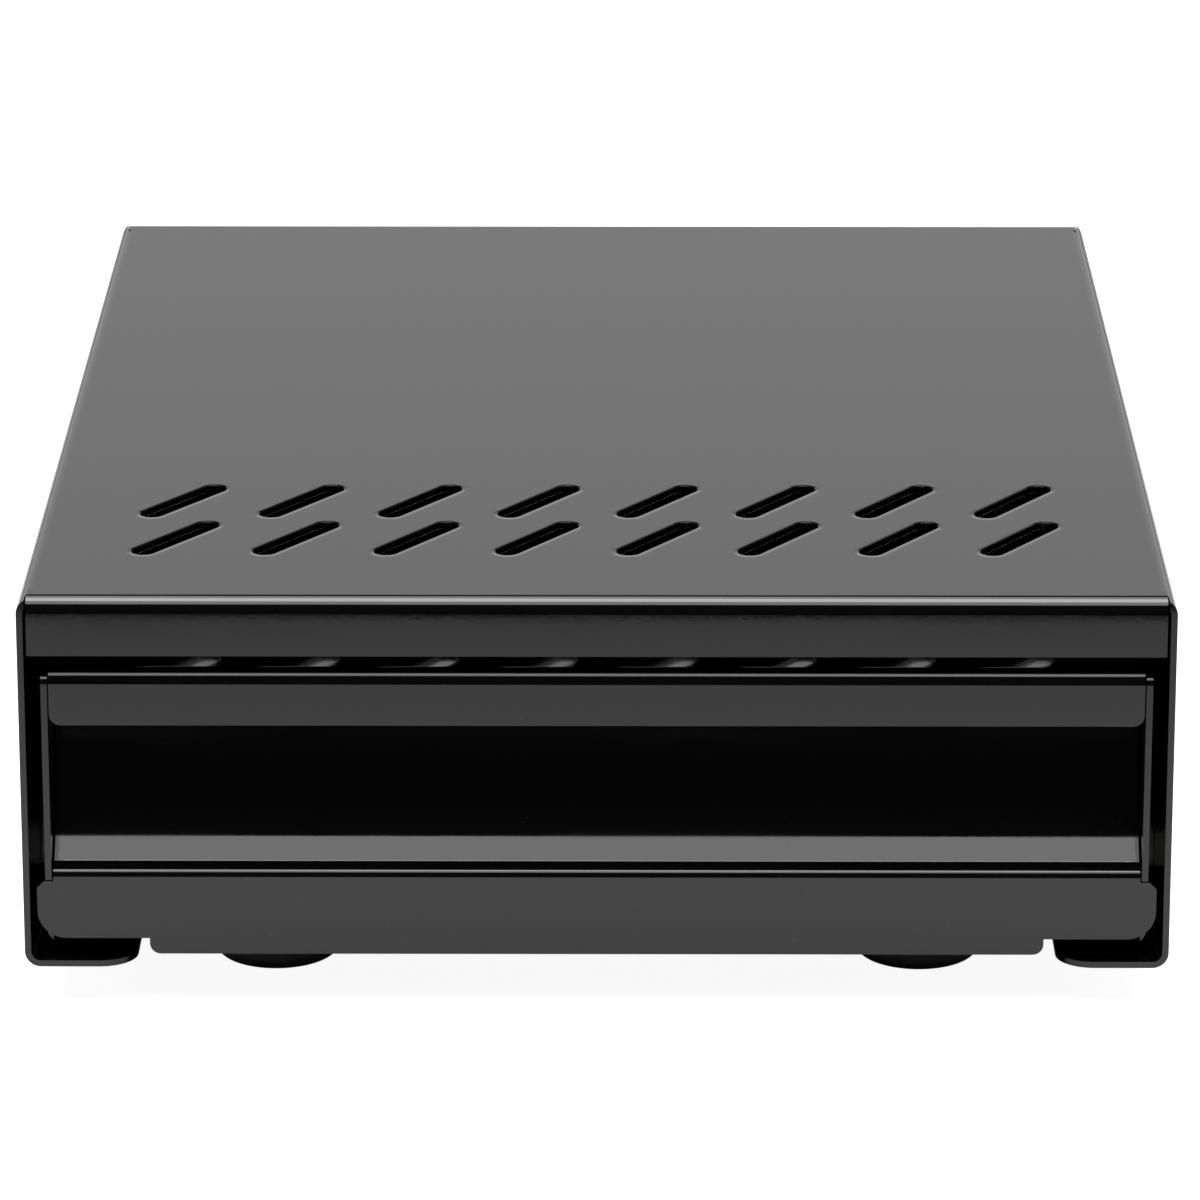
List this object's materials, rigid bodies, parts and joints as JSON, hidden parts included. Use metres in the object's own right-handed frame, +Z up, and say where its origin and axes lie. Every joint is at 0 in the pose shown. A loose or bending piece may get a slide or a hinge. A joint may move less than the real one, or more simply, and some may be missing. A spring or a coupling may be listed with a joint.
{
  "type": "coffee knock box drawer",
  "caption": "Low sheet-metal coffee knock box: a folded housing on rubber feet with slanted slots in its top and a pull-out drawer that holds a rubber-sleeved knock bar.",
  "frame": {"origin": "on the counter, under the middle of the housing", "axes": "+Z up, -Y towards the user, the way the drawer opens, +X to the user's right"},
  "size_m": [0.2522, 0.32, 0.094],
  "materials": {
    "powder_coat": "gloss black powder coat, fine orange peel",
    "black_rivet": "black, satin",
    "rubber": "matt black rubber",
    "zinc_steel": "zinc plated",
    "stainless": "ground stainless steel",
    "white_plastic": "natural nylon"
  },
  "bodies": {
    "housing": {"housing_shell": "powder_coat", "base_plate": "powder_coat", "base_plate_rivets": "black_rivet", "back_panel": "powder_coat", "back_panel_rivets": "black_rivet", "foot_clinch_nuts": "zinc_steel", "foot_front_left": "rubber", "foot_front_right": "rubber", "foot_rear_left": "rubber", "foot_rear_right": "rubber", "foot_washers": "zinc_steel", "foot_screws": "zinc_steel", "glide_strip_left": "white_plastic", "glide_strip_right": "white_plastic", "side_guide_left": "white_plastic", "side_guide_right": "white_plastic", "rear_bumper_left": "rubber", "rear_bumper_right": "rubber", "drawer_stop_left": "powder_coat", "drawer_stop_right": "powder_coat", "stop_pad_left": "rubber", "stop_pad_right": "rubber"},
    "drawer": {"drawer_tray": "powder_coat", "drawer_front": "powder_coat", "knock_bar_rod": "stainless", "knock_bar_sleeve": "rubber", "bar_bushing_left": "white_plastic", "bar_bushing_right": "white_plastic", "bar_screws": "zinc_steel"}
  },
  "joints": [
    {"name": "drawer_slide", "type": "slide", "parent": "housing", "child": "drawer", "axis": [0, -1, 0], "range_m": [0, 0.205]}
  ]
}
